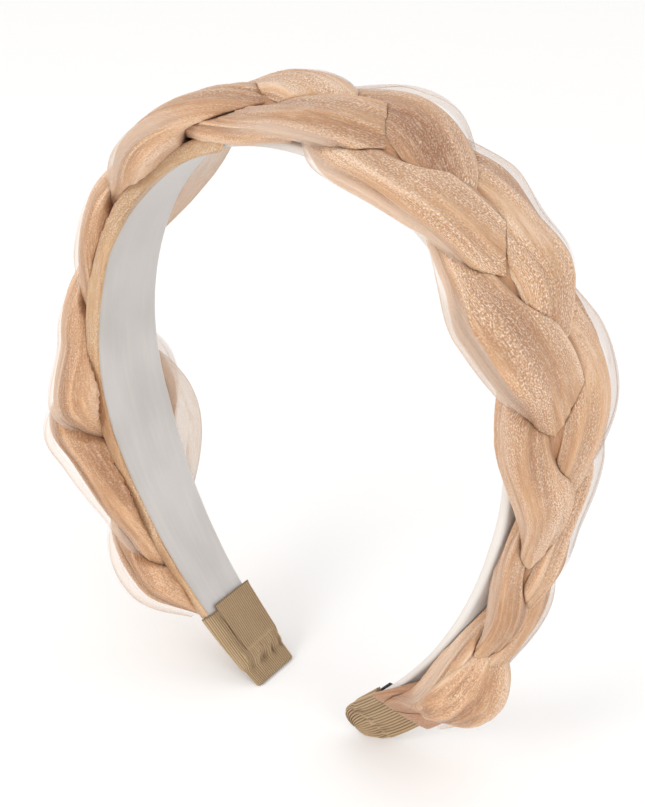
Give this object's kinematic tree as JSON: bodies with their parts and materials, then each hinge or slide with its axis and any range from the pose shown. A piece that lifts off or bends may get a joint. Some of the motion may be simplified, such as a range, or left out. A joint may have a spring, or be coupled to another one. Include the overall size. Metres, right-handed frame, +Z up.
{
  "type": "braided headband",
  "caption": "Rigid satin-covered arch headband with a puffy three-strand organza braid on its outer face and ribbon-capped tips; holds hair back over the head.",
  "frame": {"origin": "middle of the overall box on the surface that the two tips stand on", "axes": "+Z up to the crown, X from the left tip to the right tip, +Y from the band's front edge to its back edge"},
  "size_m": [0.165, 0.0548, 0.1875],
  "materials": {
    "satin": "soft satin sheen",
    "organza": "sheer glossy organza, gathered",
    "grosgrain": "ribbed matt ribbon",
    "black_core": "matt"
  },
  "bodies": {
    "root": {"satin_band": "satin", "braid_strand_1": "organza", "braid_strand_2": "organza", "braid_strand_3": "organza", "ribbon_cap_left": "grosgrain", "ribbon_cap_right": "grosgrain", "core_end_right": "black_core"}
  },
  "joints": []
}
